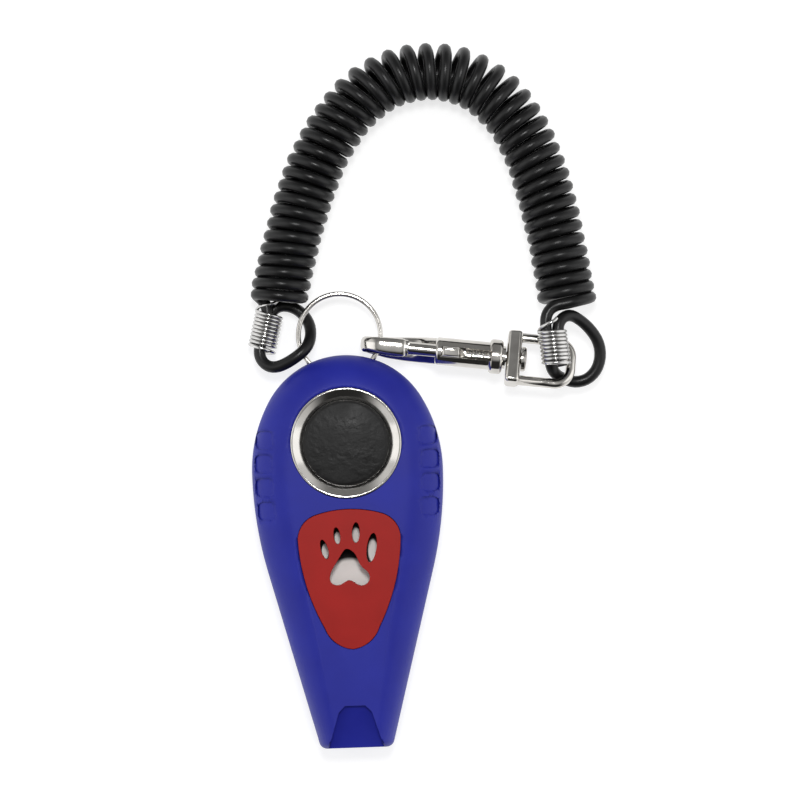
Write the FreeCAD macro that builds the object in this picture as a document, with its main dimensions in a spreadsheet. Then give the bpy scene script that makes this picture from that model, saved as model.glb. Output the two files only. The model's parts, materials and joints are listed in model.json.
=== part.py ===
import FreeCAD, Part
import math
import os

import Sketcher
from FreeCAD import Placement, Rotation, Vector

# Clicker trainer with a whistle mouthpiece and a curly wrist cord. Millimetres.
# +Y runs up the casing towards its ring, +X to the right, +Z out of the front.
# The origin is the middle of the casing's flat back.

doc = FreeCAD.newDocument("ClickerTrainer")
sheet = doc.addObject("Spreadsheet::Sheet", "Sizes")

DRIVING = [
    # casing: plan, section and walls
    ("caseLength", 86.0), ("headHalf", 20.95), ("headTopRadius", 19.3), ("widestDown", 25.5),
    ("flankRadius", 85.0), ("mouthHalf", 7.9), ("mouthCorner", 1.6), ("caseThick", 16.0),
    ("splitHeight", 7.0), ("wall", 2.0), ("roof", 2.8), ("flankInset", 8.6), ("flankRise", 8.0),
    ("backRound", 2.2), ("fit", 0.15), ("frontWall", 4.4), ("past", 1.0),
    # button and its dish
    ("buttonRoom", 0.78), ("buttonRadius", 9.45), ("buttonTravel", 1.8), ("buttonDome", 60.0),
    ("buttonProud", 0.5), ("buttonEdge", 0.9), ("flangeLip", 1.15), ("flangeThick", 1.2), ("nubRadius", 2.5),
    ("dishWall", 1.95), ("dishRim", 0.65), ("dishDeep", 1.45), ("dishProud", 0.15), ("dishSeatDeep", 0.7),
    ("dishSlack", 0.05), ("dishEdge", 0.3), ("dishLip", 0.4), ("dishSlope", 0.9),
    # reed
    ("reedWidth", 14.0), ("reedThick", 0.5), ("reedBelowRoof", 2.6), ("reedArm", 37.8),
    ("reedTail", 2.6), ("reedEndRoom", 0.9), ("reedPast", 6.2), ("reedPlay", 0.2), ("ribHalf", 1.2),
    # insert and the window under its paw
    ("insertThick", 1.6), ("insertProud", 0.1), ("insertBelowDish", 11.75), ("windowWide", 13.0),
    ("windowLow", -9.4), ("windowHigh", 7.0),
    # grips and mouth
    ("gripSize", 4.0), ("gripDeep", 0.22), ("gripPitch", 5.15), ("gripBelowWidest", 8.0), ("gripInset", 2.8),
    ("gripCorner", 1.2), ("scoopCorner", 1.4),
    ("scoopLength", 9.8), ("scoopNarrow", 3.6), ("scoopWide", 6.2), ("scoopStep", 1.3), ("scoopDrop", 3.8),
    ("windWidth", 9.0), ("windHeight", 2.0), ("blockWidth", 11.0), ("blockHeight", 5.0),
    ("blockLength", 12.0), ("blockBack", 0.6), ("soundWindow", 3.5),
    ("chamberLength", 11.0), ("chamberRoof", 1.7),
    # screws
    ("screwShank", 1.0), ("screwHead", 1.9), ("screwHeadDeep", 1.6), ("screwLength", 9.0),
    ("screwSink", 0.4), ("bossRadius", 2.9), ("bossFromSide", 6.55), ("bossBelowWidest", 9.5),
    ("bossFromMouth", 21.5), ("bossBesideBlock", 3.4), ("pilotSlack", 0.03),
    ("screwSlack", 0.15), ("screwEndRoom", 0.6), ("crossLong", 1.2), ("crossWide", 0.22), ("crossDeep", 0.8),
    # split ring and its post
    ("ringX", -0.76), ("ringPastTop", 4.45), ("ringOuter", 9.57), ("ringWire", 1.27), ("ringThick", 2.0),
    ("ringBelowSplit", 1.0), ("slotRoom", 0.85), ("slotWall", 1.85), ("slotHigh", 5.2),
    ("postRadius", 1.6), ("postGap", 0.4), ("postSlack", 0.1), ("ringEdge", 0.3),
    # bolt snap
    ("nosePastRing", 3.74), ("hookBelowRing", 2.05), ("hookAboveRing", 2.6), ("hookTurn", -7.6),
    ("barrelRadius", 3.05), ("barrelStart", 16.5), ("barrelLong", 11.8), ("collarRadius", 3.8),
    ("collarLong", 3.0), ("neckRadius", 2.5), ("neckLong", 0.6), ("gateLong", 6.1), ("noseRadius", 3.3),
    ("armHalfWide", 1.75), ("armHalfHigh", 1.0), ("boltRadius", 1.4), ("tailStep", 0.45),
    ("boltTravel", 6.2), ("boltFit", 0.1), ("barrelLip", 1.3), ("endGap", 0.2), ("springRadius", 1.0),
    ("springWire", 0.3), ("knobLong", 3.8), ("knobWide", 2.1), ("knobHigh", 1.3), ("knobPin", 0.8),
    ("knobStemLow", 0.3),
    ("postShank", 1.5), ("rivetHead", 2.7), ("rivetHeadLong", 1.1), ("rivetEdge", 0.5), ("barrelEdge", 0.7),
    ("collarEdge", 0.8), ("knobEdge", 0.6), ("knobGap", 0.25), ("knobFoot", 0.25), ("endWall", 1.8),
    ("armRiseX", 1.8), ("armRiseZ", 1.9), ("armBendX", 3.6), ("armBend", 2.0), ("tipRadius", 0.8),
    ("tipInto", 0.9), ("tipSlack", 0.15), ("springTurns", 6),
    # swivel eye
    ("eyeBase", 3.2), ("eyeGap", 0.2), ("eyeHalf", 4.9), ("eyeLong", 14.2), ("eyeBar", 1.1),
    ("eyeCorner", 3.5), ("eyeRoll", -18.0), ("eyeBaseHigh", 5.0), ("eyeEdge", 0.9), ("eyeInto", 0.8),
    # wrist cord
    ("cordWide", 2.6), ("coilOuter", 13.0), ("crimpSlack", 0.1), ("crimpWire", 0.75),
    ("crimpLeftLong", 8.8), ("crimpRightLong", 7.8),
]

for row, (alias, number) in enumerate(DRIVING, start=1):
    sheet.set("A%d" % row, alias)
    sheet.set("B%d" % row, str(number))
    sheet.setAlias("B%d" % row, alias)
doc.recompute()


class Size:
    """A length that carries its number and the sheet expression that gives it."""

    def __init__(self, number, text):
        self.number = number
        self.text = text

    def __add__(self, other):
        other = size(other)
        return Size(self.number + other.number, "(%s + %s)" % (self.text, other.text))

    def __sub__(self, other):
        other = size(other)
        return Size(self.number - other.number, "(%s - %s)" % (self.text, other.text))

    def __mul__(self, factor):
        return Size(self.number * factor, "(%s * %s)" % (self.text, factor))

    def __neg__(self):
        return self * -1

    def __float__(self):
        return float(self.number)


def size(value):
    return value if isinstance(value, Size) else Size(float(value), repr(float(value)))


class Named:
    """Every alias of the sheet as a Size."""


dims = Named()
for alias, number in DRIVING:
    setattr(dims, alias, Size(float(sheet.get(alias)), "Sizes." + alias))


topY = dims.caseLength * 0.5
mouthY = dims.caseLength * -0.5
widestY = topY - dims.widestDown
ringY = topY + dims.ringPastTop
cavityHigh = ringY - dims.ringOuter - dims.slotRoom - dims.slotWall
flangeRadius = dims.buttonRadius + dims.flangeLip
buttonY = cavityHigh - dims.buttonRoom - flangeRadius
dishBody = dims.buttonRadius + dims.dishWall
dishRadius = dishBody + dims.dishRim
insertY = buttonY - dishRadius - dims.insertBelowDish
roofZ = dims.caseThick - dims.roof
reedLow = roofZ - dims.reedBelowRoof
reedTop = reedLow + dims.reedThick
reedPivotY = buttonY - dims.reedArm
ringZ = dims.splitHeight - dims.ringBelowSplit
ringInner = dims.ringOuter - dims.ringWire
postY = ringY - ringInner + dims.postGap + dims.postRadius
hookX = dims.ringX + ringInner - dims.nosePastRing
hookY = ringY - dims.hookBelowRing
hookZ = ringZ + dims.hookAboveRing
collarStart = dims.barrelStart + dims.barrelLong
collarEnd = collarStart + dims.collarLong
boreEnd = collarEnd - dims.endWall
armTip = dims.barrelStart - dims.gateLong
tailRadius = dims.boltRadius + dims.tailStep
eyeStart = collarEnd + dims.neckLong + dims.eyeGap
eyeEnd = eyeStart + dims.eyeLong
crimpInner = dims.cordWide + dims.cordWide + dims.crimpSlack
crimpOuter = crimpInner + dims.crimpWire * 2


def bind(thing, **properties):
    for name, value in properties.items():
        thing.setExpression(name.replace("_", "."), size(value).text)
    return thing


def place(thing, x=0, y=0, z=0):
    return bind(thing, Placement_Base_x=x, Placement_Base_y=y, Placement_Base_z=z)


# ---- primitives and booleans, all bound to the sheet -------------------------

def block(name, x0, x1, y0, y1, z0, z1):
    box = doc.addObject("Part::Box", name)
    x0, x1, y0, y1, z0, z1 = [size(value) for value in (x0, x1, y0, y1, z0, z1)]
    bind(box, Length=x1 - x0, Width=y1 - y0, Height=z1 - z0)
    return place(box, x0, y0, z0)


def rod(name, radius, z0, z1, x=0, y=0):
    cylinder = doc.addObject("Part::Cylinder", name)
    bind(cylinder, Radius=radius, Height=size(z1) - z0)
    return place(cylinder, x, y, z0)


def rodAlongX(name, radius, x0, x1, y=0, z=0):
    """A cylinder along X, drawn in the bolt snap's own frame."""
    cylinder = doc.addObject("Part::Cylinder", name)
    cylinder.Placement = Placement(Vector(0, 0, 0), Rotation(Vector(0, 1, 0), 90))
    bind(cylinder, Radius=radius, Height=size(x1) - x0)
    return place(cylinder, x0, y, z)


def fuse(name, *shapes):
    joined = doc.addObject("Part::MultiFuse", name)
    joined.Shapes = list(shapes)
    joined.Refine = True
    return joined


def cut(name, base, *tools):
    less = doc.addObject("Part::Cut", name)
    less.Base = base
    less.Tool = tools[0] if len(tools) == 1 else fuse(name + "Tools", *tools)
    less.Refine = True
    return less


def common(name, *shapes):
    shared = doc.addObject("Part::MultiCommon", name)
    shared.Shapes = list(shapes)
    return shared


def feature(name, shape):
    solid = doc.addObject("Part::Feature", name)
    solid.Shape = shape
    return solid


def rounded(name, base, radius, wanted):
    """Fillets the edges of base for which wanted(edge) is true."""
    doc.recompute()
    soft = doc.addObject("Part::Fillet", name)
    soft.Base = base
    radius = float(radius)
    soft.Edges = [(n, radius, radius) for n, edge in enumerate(base.Shape.Edges, start=1) if wanted(edge)]
    return soft


# ---- sketches ---------------------------------------------------------------

def pin(sketch, item, end, x, y):
    """Holds one end of a sketch item at x, y, with both numbers bound to the sheet."""
    for kind, axis, value in (("DistanceX", -2, x), ("DistanceY", -1, y)):
        value = size(value)
        if abs(value.number) < 1e-9:
            sketch.addConstraint(Sketcher.Constraint("PointOnObject", item, end, axis))
        elif value.number > 0:
            index = sketch.addConstraint(Sketcher.Constraint(kind, -1, 1, item, end, value.number))
            sketch.setExpression("Constraints[%d]" % index, value.text)
        else:
            index = sketch.addConstraint(Sketcher.Constraint(kind, item, end, -1, 1, -value.number))
            sketch.setExpression("Constraints[%d]" % index, "-" + value.text)


def profile(body, name, plane, corners):
    """A closed outline. A corner is (x, y) or (x, y, radius): with a radius, the side that
    reaches it is an arc, bulging to the right of travel when the radius is positive."""
    sketch = body.newObject("Sketcher::SketchObject", name)
    origin = [item for item in body.Origin.OriginFeatures if item.Role == plane][0]
    sketch.AttachmentSupport = [(origin, "")]
    sketch.MapMode = "FlatFace"
    for n, corner in enumerate(corners):
        before = corners[n - 1]
        start = Vector(float(before[0]), float(before[1]), 0)
        end = Vector(float(corner[0]), float(corner[1]), 0)
        if len(corner) == 2:
            sketch.addGeometry(Part.LineSegment(start, end), False)
            first, last = 1, 2
        else:
            radius = float(corner[2])
            chord = end - start
            right = Vector(chord.y, -chord.x, 0).normalize()
            rise = math.sqrt(radius ** 2 - (chord.Length / 2) ** 2)
            centre = (start + end) * 0.5 - right * math.copysign(rise, radius)
            angles = [math.atan2(p.y - centre.y, p.x - centre.x) for p in (start, end)]
            if radius < 0:
                angles.reverse()
            circle = Part.Circle(centre, Vector(0, 0, 1), abs(radius))
            sketch.addGeometry(Part.ArcOfCircle(circle, *angles), False)
            first, last = (1, 2) if radius > 0 else (2, 1)
            index = sketch.addConstraint(Sketcher.Constraint("Radius", n, abs(radius)))
            sketch.setExpression("Constraints[%d]" % index, "abs(%s)" % size(corner[2]).text)
        pin(sketch, n, first, before[0], before[1])
        pin(sketch, n, last, corner[0], corner[1])
    return sketch


def bodyNamed(name):
    return doc.addObject("PartDesign::Body", name)


def turned(name, corners):
    """A turned part: an outline in the XZ plane, as (radius, height), spun about Z."""
    body = bodyNamed(name)
    sketch = profile(body, name + "Outline", "XZ_Plane", corners)
    spun = body.newObject("PartDesign::Revolution", name + "Turn")
    spun.Profile = sketch
    spun.ReferenceAxis = (sketch, ["V_Axis"])
    spun.Angle = 360
    return body


def slab(name, corners, height):
    """A flat piece: an outline in the XY plane, padded upwards by height."""
    body = bodyNamed(name)
    pad = body.newObject("PartDesign::Pad", name + "Pad")
    pad.Profile = profile(body, name + "Outline", "XY_Plane", corners)
    bind(pad, Length=height)
    return body


# ---- casing -----------------------------------------------------------------

def outline(inset, height):
    """The casing's plan: a round head, bowed flanks, straight taper and a blunt mouth end.
    The inset is full at the head and less at the mouth, which is narrow."""
    mouthShare, endShare = 0.45, 0.25
    half, widest = float(dims.headHalf), float(widestY)
    topRadius, flank = float(dims.headTopRadius), float(dims.flankRadius)
    topCentre = Vector(0, float(topY) - topRadius, height)
    side = (half ** 2 + (topCentre.y - widest) ** 2 - topRadius ** 2) / (2 * (half - topRadius))
    sideCentre = Vector(half - side, widest, height)
    flankCentre = Vector(half - flank, widest, height)
    mouth = Vector(float(dims.mouthHalf) - mouthShare * inset, float(mouthY) + endShare * inset, height)

    toTop = (topCentre - sideCentre).normalize()
    crown = topCentre + Vector(0, topRadius - inset, 0)
    shoulder = sideCentre + toTop * (side - inset)
    tilt = math.atan2(toTop.y, toTop.x)
    sideMid = sideCentre + Vector(math.cos(tilt / 2), math.sin(tilt / 2), 0) * (side - inset)
    widestPoint = Vector(half - inset, widest, height)
    toMouth = mouth - flankCentre
    touch = math.atan2(toMouth.y, toMouth.x) + math.acos((flank - inset) / toMouth.Length)
    flankMid = flankCentre + Vector(math.cos(touch / 2), math.sin(touch / 2), 0) * (flank - inset)
    flankEnd = flankCentre + Vector(math.cos(touch), math.sin(touch), 0) * (flank - inset)

    down = (mouth - flankEnd).normalize()
    turn = math.acos(down.dot(Vector(-1, 0, 0)))
    corner = float(dims.mouthCorner)
    reach = corner * math.tan(turn / 2)
    cornerStart = mouth - down * reach
    cornerEnd = mouth - Vector(reach, 0, 0)
    cornerCentre = cornerEnd + Vector(0, corner, 0)
    cornerMid = cornerCentre + (mouth - cornerCentre).normalize() * corner

    def flip(point):
        return Vector(-point.x, point.y, point.z)

    edges = [
        Part.Arc(flip(shoulder), crown, shoulder),
        Part.Arc(shoulder, sideMid, widestPoint),
        Part.Arc(widestPoint, flankMid, flankEnd),
        Part.LineSegment(flankEnd, cornerStart),
        Part.Arc(cornerStart, cornerMid, cornerEnd),
        Part.LineSegment(cornerEnd, flip(cornerEnd)),
        Part.Arc(flip(cornerEnd), flip(cornerMid), flip(cornerStart)),
        Part.LineSegment(flip(cornerStart), flip(flankEnd)),
        Part.Arc(flip(flankEnd), flip(flankMid), flip(widestPoint)),
        Part.Arc(flip(widestPoint), flip(sideMid), flip(shoulder)),
    ]
    return Part.Wire([edge.toShape() for edge in edges])


def prism(inset, low, high):
    return Part.Face(outline(inset, low)).extrude(Vector(0, 0, high - low))


def frontForm(shrink):
    """The front's outside: an upright rim, then a flank that rounds over as a quarter ellipse."""
    top = float(dims.caseThick) - shrink
    start = top - float(dims.flankRise)
    bands = 9
    sections = []
    for n in range(bands + 1):
        angle = math.pi / 2 * n / bands
        inset = float(dims.flankInset) * (1 - math.cos(angle)) + shrink
        sections.append(outline(inset, start + float(dims.flankRise) * math.sin(angle)))
    crown = Part.makeLoft(sections, True, False)
    return prism(shrink, float(dims.splitHeight), start).fuse(crown).removeSplitter()


def rearForm():
    """The back's outside: an upright wall above a small round edge."""
    rise = float(dims.backRound)
    bands = 3
    sections = []
    for n in range(bands + 1):
        angle = math.pi / 2 * (1 - n / bands)
        sections.append(outline(rise * (1 - math.cos(angle)), rise * (1 - math.sin(angle))))
    edge = Part.makeLoft(sections, True, False)
    return edge.fuse(prism(0, rise, float(dims.splitHeight))).removeSplitter()


cavityLow = reedPivotY - dims.reedTail - dims.reedEndRoom
windZ = dims.wall
blockZ = windZ + dims.windHeight
blockTop = blockZ + dims.blockHeight
blockEnd = mouthY + dims.blockLength
chamberHighY = blockEnd + dims.chamberLength
bossX = dims.headHalf - dims.bossFromSide
lowBossX = dims.blockWidth * 0.5 + dims.bossBesideBlock
bossY = widestY - dims.bossBelowWidest
lowBossY = mouthY + dims.bossFromMouth
screwPlaces = [(bossX, bossY), (-bossX, bossY), (lowBossX, lowBossY), (-lowBossX, lowBossY)]
ringSlotLow = ringZ - dims.slotHigh * 0.5
ringSlotHigh = ringZ + dims.slotHigh * 0.5


def cavity(name, inset, low, high):
    room = feature(name + "Room", prism(float(inset), float(low), float(high)))
    bounds = block(name + "Bounds", -dims.headHalf, dims.headHalf, cavityLow, cavityHigh,
                   size(low) - dims.past, size(high) + dims.past)
    return common(name, room, bounds)


def gripCutters():
    """Four shallow rounded squares down each flank, all the same depth below the surface."""
    shrunk = frontForm(float(dims.gripDeep))
    edge, pitch = float(dims.gripSize), float(dims.gripPitch)
    flank = float(dims.flankRadius)
    low, high = float(dims.splitHeight) + 1, float(dims.caseThick)
    squares = []
    for n in range(4):
        y = float(widestY - dims.gripBelowWidest) + n * pitch
        bow = flank - math.sqrt(flank ** 2 - (y - float(widestY)) ** 2)
        x = float(dims.headHalf) - float(dims.gripInset) - bow
        for across in (1, -1):
            square = Part.makeBox(edge, edge, high - low, Vector(across * x - edge / 2, y - edge / 2, low))
            upright = [e for e in square.Edges if abs(e.tangentAt(e.FirstParameter).z) > 0.9]
            squares.append(square.makeFillet(float(dims.gripCorner), upright))
    return Part.makeCompound(squares).cut(shrunk)


def mouthScoop():
    """The sunk bite face: it starts with a step, then falls away to the mouth end."""
    end = float(mouthY)
    head = end + float(dims.scoopLength)
    top = float(dims.caseThick)
    narrow, wide = float(dims.scoopNarrow), float(dims.scoopWide)
    corner = float(dims.scoopCorner)
    above = top + float(dims.past)
    plan = [
        Vector(-narrow + corner, head, 0), Vector(narrow - corner, head, 0), Vector(narrow, head - corner, 0),
        Vector(wide, end, 0), Vector(wide, end - 1, 0), Vector(-wide, end - 1, 0), Vector(-wide, end, 0),
        Vector(-narrow, head - corner, 0),
    ]
    column = Part.Face(Part.makePolygon(plan + plan[:1])).extrude(Vector(0, 0, above))
    side = [
        Vector(-wide, head, top - float(dims.scoopStep)), Vector(-wide, end - 1, top - float(dims.scoopDrop)),
        Vector(-wide, end - 1, above), Vector(-wide, head, above),
    ]
    wedge = Part.Face(Part.makePolygon(side + side[:1])).extrude(Vector(2 * wide, 0, 0))
    return column.common(wedge)


def ringSlot(name):
    return rod(name, dims.ringOuter + dims.slotRoom, ringSlotLow, ringSlotHigh, dims.ringX, ringY)


def mouthPassage(name):
    """The block's bay, the flat windway beneath it and the chamber behind it."""
    wind, bay = dims.windWidth * 0.5, dims.blockWidth * 0.5
    front = mouthY - dims.past
    return [
        block(name + "Wind", -wind, wind, front, blockEnd, windZ, blockZ + dims.past * 0.5),
        block(name + "Bay", -bay, bay, front, blockEnd, blockZ, blockTop),
        block(name + "Chamber", -bay, bay, blockEnd - 0.01, chamberHighY, windZ, roofZ - dims.chamberRoof),
    ]


def insertOutline(grow):
    """The shield: a slightly bowed top, round shoulders, and flanks that run to a round foot."""
    top, foot = 9.4, -20.9
    side = [(7.2, 8.3), (11.1, 2.4), (5.9, -16.2)]
    radii = [24.0, 5.6, 45.0, 7.0]
    grow = size(grow)
    lean = grow * 0.4
    right = [(lean + side[0][0], grow + side[0][1]), (grow + side[1][0], size(side[1][1])),
             (grow + side[2][0], size(side[2][1]) - lean)]
    bows = [-(grow + radius) for radius in radii]
    corners = [(x, y, bow) for (x, y), bow in zip(right, bows)]
    corners.append((0, size(foot) - grow, bows[-1]))
    corners += [(-x, y, bow) for (x, y), bow in zip(reversed(right), reversed(bows))]
    return [(0, grow + top, bows[0])] + corners


frontSolid = feature("frontForm", frontForm(0.0))
insertPocket = slab("insertPocket", insertOutline(dims.fit), dims.insertThick + dims.past)
place(insertPocket, 0, insertY, dims.caseThick - dims.insertThick)
outside = dims.caseThick + dims.past
dishBore = rod("dishBore", dishBody + dims.dishSlack, roofZ - dims.past, outside, 0, buttonY)
dishSeatZ = dims.caseThick - dims.dishSeatDeep
dishSeat = rod("dishSeat", dishRadius + dims.dishSlack * 2, dishSeatZ, outside, 0, buttonY)
pawWindow = block("pawWindow", dims.windowWide * -0.5, dims.windowWide * 0.5, insertY + dims.windowLow,
                  insertY + dims.windowHigh, roofZ - dims.past, dims.caseThick)
frontRoom = cavity("frontRoom", dims.frontWall, dims.splitHeight - dims.past, roofZ)
screwEnd = dims.screwSink + dims.screwHeadDeep + dims.screwLength
pilots = [rod("pilot%d" % n, dims.screwShank + dims.pilotSlack, dims.splitHeight - dims.past,
              screwEnd + dims.screwEndRoom, x, y)
          for n, (x, y) in enumerate(screwPlaces)]
frontHollow = cut("frontHollow", frontSolid, frontRoom, insertPocket, dishBore, dishSeat, pawWindow,
                  feature("grips", gripCutters()), feature("mouthScoop", mouthScoop()),
                  ringSlot("frontSlot"), *mouthPassage("front"))


def boss(name, x, y, low, high):
    """A screw post, kept inside the casing's outside."""
    post = rod(name + "Rod", dims.bossRadius, low, high, x, y)
    limit = feature(name + "Limit", prism(float(dims.wall) * 0.4, float(low), float(high)))
    return common(name, post, limit)


def reedRib(name, low, high):
    """One of the two ribs that hold the reed's fixed end between them."""
    half = dims.reedWidth * 0.5
    return block(name, -half, half, reedPivotY - dims.ribHalf, reedPivotY + dims.ribHalf, low, high)


sunk = dims.past * 0.5
frontBosses = [boss("frontBoss%d" % n, x, y, dims.splitHeight, roofZ + sunk)
               for n, (x, y) in enumerate(screwPlaces[:2])]
frontRib = reedRib("frontRib", reedTop + dims.reedPlay, roofZ + sunk)
frontJoined = fuse("frontJoined", frontHollow, frontRib, *frontBosses)
frontShell = cut("front_shell", frontJoined, *pilots)

rearSolid = feature("rearForm", rearForm())
rearRoom = cavity("rearRoom", dims.wall, dims.wall, dims.splitHeight + dims.past)
windowCut = block("soundWindow", dims.windWidth * -0.5, dims.windWidth * 0.5, blockEnd,
                  blockEnd + dims.soundWindow, -dims.past, dims.wall + sunk)
rearHollow = cut("rearHollow", rearSolid, rearRoom, windowCut, ringSlot("rearSlot"), *mouthPassage("rear"))
ringPost = rod("ringPost", dims.postRadius, ringSlotLow - sunk, ringSlotHigh - dims.postSlack,
               dims.ringX, postY)
rearRib = reedRib("rearRib", dims.wall - sunk, reedLow - dims.reedPlay)
rearBosses = [boss("rearBoss%d" % n, x, y, dims.wall - sunk, dims.splitHeight)
              for n, (x, y) in enumerate(screwPlaces[:2])]
rearJoined = fuse("rearJoined", rearHollow, ringPost, rearRib, *rearBosses)
screwWays = []
for n, (x, y) in enumerate(screwPlaces):
    screwWays.append(rod("screwWay%d" % n, dims.screwShank + dims.screwSlack, -dims.past,
                         dims.splitHeight + dims.past, x, y))
    screwWays.append(rod("screwSink%d" % n, dims.screwHead + dims.screwSlack, -dims.past,
                         dims.screwSink + dims.screwHeadDeep, x, y))
rearShell = cut("rear_shell", rearJoined, *screwWays)

# ---- dish, button, reed, insert, whistle block, screws ------------------------

dishFloor = dims.caseThick + dims.dishProud - dims.dishDeep
dishHole = dims.buttonRadius + dims.fit
dishTop = dims.caseThick + dims.dishProud
dishLow = roofZ + dims.fit
dishShoulder = dishRadius - dims.dishEdge
bezelDish = turned("bezel_dish", [
    (dishHole, dishLow), (dishBody, dishLow), (dishBody, dishSeatZ), (dishRadius, dishSeatZ),
    (dishRadius, dishTop - dims.dishEdge), (dishShoulder, dishTop), (dishShoulder - dims.dishLip, dishTop),
    (dishShoulder - dims.dishLip - dims.dishSlope, dishFloor), (dishHole, dishFloor)])
place(bezelDish, 0, buttonY, 0)

flangeTop = roofZ
flangeLow = flangeTop - dims.flangeThick
nubLow = reedTop + dims.fit
buttonTop = dims.caseThick + dims.buttonProud
buttonCore = turned("buttonCore", [
    (0, nubLow), (dims.nubRadius, nubLow), (dims.nubRadius, flangeLow), (flangeRadius, flangeLow),
    (flangeRadius, flangeTop), (dims.buttonRadius, flangeTop), (dims.buttonRadius, buttonTop),
    (0, buttonTop)])
dome = doc.addObject("Part::Sphere", "buttonDomeBall")
bind(dome, Radius=dims.buttonDome)
place(dome, 0, 0, buttonTop - dims.buttonDome)
buttonDomed = common("buttonDomed", buttonCore, dome)
buttonCap = rounded("button_cap", buttonDomed, dims.buttonEdge,
                    lambda edge: edge.BoundBox.ZMin > float(dims.caseThick - dims.past)
                    and edge.BoundBox.XLength > float(dims.buttonRadius) * 1.9)
place(buttonCap, 0, buttonY, 0)

reedHalf = dims.reedWidth * 0.5
reedTip = buttonY + dims.reedPast
reedEnd = reedPivotY - dims.reedTail
clickReed = slab("click_reed", [
    (reedHalf, reedEnd), (reedHalf, reedTip), (-reedHalf, reedTip), (-reedHalf, reedEnd)], dims.reedThick)
place(clickReed, 0, 0, reedLow)


def pawCutter():
    """Four tilted oval toes and a three-lobed pad."""
    toes = [(-5.46, 0.89, 0.78, 2.2, 14), (-2.66, 3.76, 0.72, 1.85, 6),
            (1.47, 4.3, 0.84, 2.25, -3), (4.78, 0.93, 1.05, 3.2, -10)]
    height = 6.0
    solids = []
    for x, y, across, along, tilt in toes:
        oval = Part.Ellipse(Vector(0, 0, 0), along, across).toShape()
        oval.rotate(Vector(0, 0, 0), Vector(0, 0, 1), 90 + tilt)
        oval.translate(Vector(x, y, -1))
        solids.append(Part.Face(Part.Wire([oval])).extrude(Vector(0, 0, height)))
    pad = [(-0.24, 0.8), (1.3, -0.6), (2.46, -3.05), (4.0, -4.7), (3.8, -6.5), (2.1, -7.2), (-0.3, -6.0),
           (-2.6, -7.0), (-4.3, -6.3), (-4.4, -4.7), (-3.2, -2.4), (-2.0, -0.5)]
    curve = Part.BSplineCurve()
    curve.interpolate([Vector(x, y, -1) for x, y in pad], PeriodicFlag=True)
    solids.append(Part.Face(Part.Wire([curve.toShape()])).extrude(Vector(0, 0, height)))
    return Part.makeCompound(solids)


pawInsert = cut("paw_insert", slab("insertPlate", insertOutline(0), dims.insertThick + dims.insertProud),
                feature("pawCutter", pawCutter()))
place(pawInsert, 0, insertY, dims.caseThick - dims.insertThick)

whistleBlock = block("whistle_block", (dims.blockWidth - dims.fit) * -0.5, (dims.blockWidth - dims.fit) * 0.5,
                     mouthY + dims.blockBack, blockEnd, blockZ, blockTop - dims.fit * 0.5)


def screwAt(n, x, y):
    headEnd = dims.screwSink + dims.screwHeadDeep
    head = rod("screwHead%d" % n, dims.screwHead, dims.screwSink, headEnd, x, y)
    shank = rod("screwShank%d" % n, dims.screwShank, headEnd - dims.fit, screwEnd, x, y)
    arms = ((dims.crossLong, dims.crossWide), (dims.crossWide, dims.crossLong))
    slots = [block("screwSlot%d%d" % (n, k), size(x) - long, size(x) + long, size(y) - wide, size(y) + wide,
                   0, dims.screwSink + dims.crossDeep)
             for k, (long, wide) in enumerate(arms)]
    return cut("screw%d" % n, fuse("screwBlank%d" % n, head, shank), *slots)


casingScrews = doc.addObject("Part::Compound", "casing_screws")
casingScrews.Links = [screwAt(n, x, y) for n, (x, y) in enumerate(screwPlaces)]

# ---- split ring ---------------------------------------------------------------

ringLow = ringZ - dims.ringThick * 0.5
ringHigh = ringZ + dims.ringThick * 0.5
ringBand = cut("ringBand", rod("ringDisc", dims.ringOuter, ringLow, ringHigh, dims.ringX, ringY),
               rod("ringHole", ringInner, ringLow - 1, ringHigh + 1, dims.ringX, ringY))
splitRing = rounded("split_ring", ringBand, dims.ringEdge, lambda edge: abs(edge.BoundBox.ZLength) < 0.01)

# ---- bolt snap and swivel eye, drawn along X from the nose, then turned into place --

hookPlace = Placement(Vector(float(hookX), float(hookY), float(hookZ)),
                      Rotation(Vector(0, 0, 1), float(dims.hookTurn)))


def onHook(thing):
    """Moves a piece from the snap's own frame, nose at zero, to its place on the ring."""
    thing.Placement = hookPlace
    place(thing, hookX, hookY, hookZ)
    thing.setExpression("Placement.Rotation.Angle", "Sizes.hookTurn")
    return thing


def sweep(path, section):
    return Part.Wire(path).makePipeShell([section], True, False)


def hookArm():
    """The hook: a flattened bar from under the barrel, round the nose and back above the eye."""
    nose = float(dims.noseRadius)
    turnX = nose + float(dims.armHalfHigh)
    low = -2 * nose
    rise = Vector(float(dims.barrelStart + dims.armRiseX), 0, -float(dims.armRiseZ))
    bend = Vector(float(dims.barrelStart - dims.armBendX), 0, low)
    before = bend + (rise - bend).normalize() * float(dims.armBend)
    after = bend - Vector(float(dims.armBend), 0, 0)
    middle = (before + after) * 0.25 + bend * 0.5
    path = [
        Part.LineSegment(rise, before).toShape(),
        Part.Arc(before, middle, after).toShape(),
        Part.LineSegment(after, Vector(turnX, 0, low)).toShape(),
        Part.Arc(Vector(turnX, 0, low), Vector(turnX - nose, 0, -nose), Vector(turnX, 0, 0)).toShape(),
        Part.LineSegment(Vector(turnX, 0, 0), Vector(float(armTip), 0, 0)).toShape(),
    ]
    along = (before - rise).normalize()
    across = Vector(0, 1, 0)
    oval = Part.Ellipse(rise + across * float(dims.armHalfWide),
                        rise + along.cross(across) * float(dims.armHalfHigh), rise)
    return sweep(path, Part.Wire([oval.toShape()]))


tailStart = dims.barrelStart + dims.barrelLip
inside = dims.past * 0.5


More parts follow.
